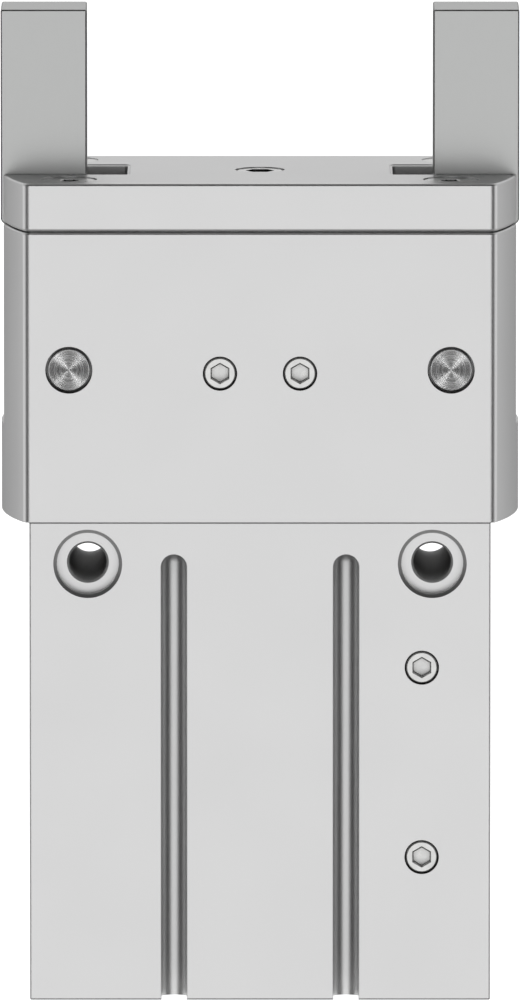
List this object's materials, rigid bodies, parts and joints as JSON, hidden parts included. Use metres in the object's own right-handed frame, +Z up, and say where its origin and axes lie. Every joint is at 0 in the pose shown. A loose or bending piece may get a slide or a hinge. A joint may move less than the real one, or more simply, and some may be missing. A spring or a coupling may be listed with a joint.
{
  "type": "pneumatic radial gripper",
  "caption": "Compact pneumatic gripper: a rectangular cylinder body under a gear housing with curved sides, and toothed jaws that swing outwards by a quarter turn.",
  "frame": {"origin": "middle of the base of the cylinder body, on the axis of the bore", "axes": "+Z up along the bore towards the jaws, -Y towards the front face with the port plugs, +X towards the side with the air ports"},
  "size_m": [0.0754, 0.038, 0.1435],
  "materials": {
    "anodised_aluminium": "satin, clear anodised",
    "piston_aluminium": "turned",
    "jaw_steel": "ground, satin",
    "hardened_steel": "milled",
    "ground_steel": "turned and ground",
    "zinc_plated_steel": "bright zinc plate",
    "black_steel": "black oxide",
    "spring_steel": "phosphated",
    "bearing_bronze": "turned",
    "bearing_plastic": "matt",
    "magnet_black": "matt",
    "black_rubber": "moulded"
  },
  "bodies": {
    "gripper_body": {"cylinder_body": "anodised_aluminium", "end_cap": "anodised_aluminium", "end_cap_oring": "black_rubber", "retaining_ring": "spring_steel", "bottom_bumper": "black_rubber", "top_bumper": "black_rubber", "rod_seal": "black_rubber", "rod_bush": "bearing_bronze", "port_plugs": "zinc_plated_steel", "housing": "anodised_aluminium", "housing_screws": "black_steel", "dowel_pins": "ground_steel", "guide_pads": "bearing_bronze", "guide_screws": "zinc_plated_steel", "thrust_washers": "bearing_bronze", "pivot_pin_left": "ground_steel", "pivot_pin_right": "ground_steel", "top_plate": "anodised_aluminium", "plate_screws": "zinc_plated_steel", "plate_plug": "zinc_plated_steel"},
    "piston_and_rack": {"piston": "piston_aluminium", "piston_seals": "black_rubber", "piston_magnet": "magnet_black", "piston_wear_ring": "bearing_plastic", "piston_nut": "zinc_plated_steel", "piston_rod": "ground_steel", "rack_block": "hardened_steel", "rack_screw": "black_steel"},
    "left_jaw": {"jaw_left": "jaw_steel", "jaw_bush_left": "bearing_bronze"},
    "right_jaw": {"jaw_right": "jaw_steel", "jaw_bush_right": "bearing_bronze"}
  },
  "joints": [
    {"name": "rack_lift", "type": "slide", "parent": "gripper_body", "child": "piston_and_rack", "axis": [0, 0, 1], "range_m": [0, 0.01414]},
    {"name": "left_jaw_swing", "type": "hinge", "parent": "gripper_body", "child": "left_jaw", "pos_m": [-0.0277, 0, 0.0923], "axis": [0, -1, 0], "range_deg": [0, 90]},
    {"name": "right_jaw_swing", "type": "hinge", "parent": "gripper_body", "child": "right_jaw", "pos_m": [0.0277, 0, 0.0923], "axis": [0, 1, 0], "range_deg": [0, 90]}
  ],
  "couplings": [
    {"joint": "left_jaw_swing", "follows": "rack_lift", "rad_per_m": 111.11},
    {"joint": "right_jaw_swing", "follows": "rack_lift", "rad_per_m": 111.11}
  ]
}
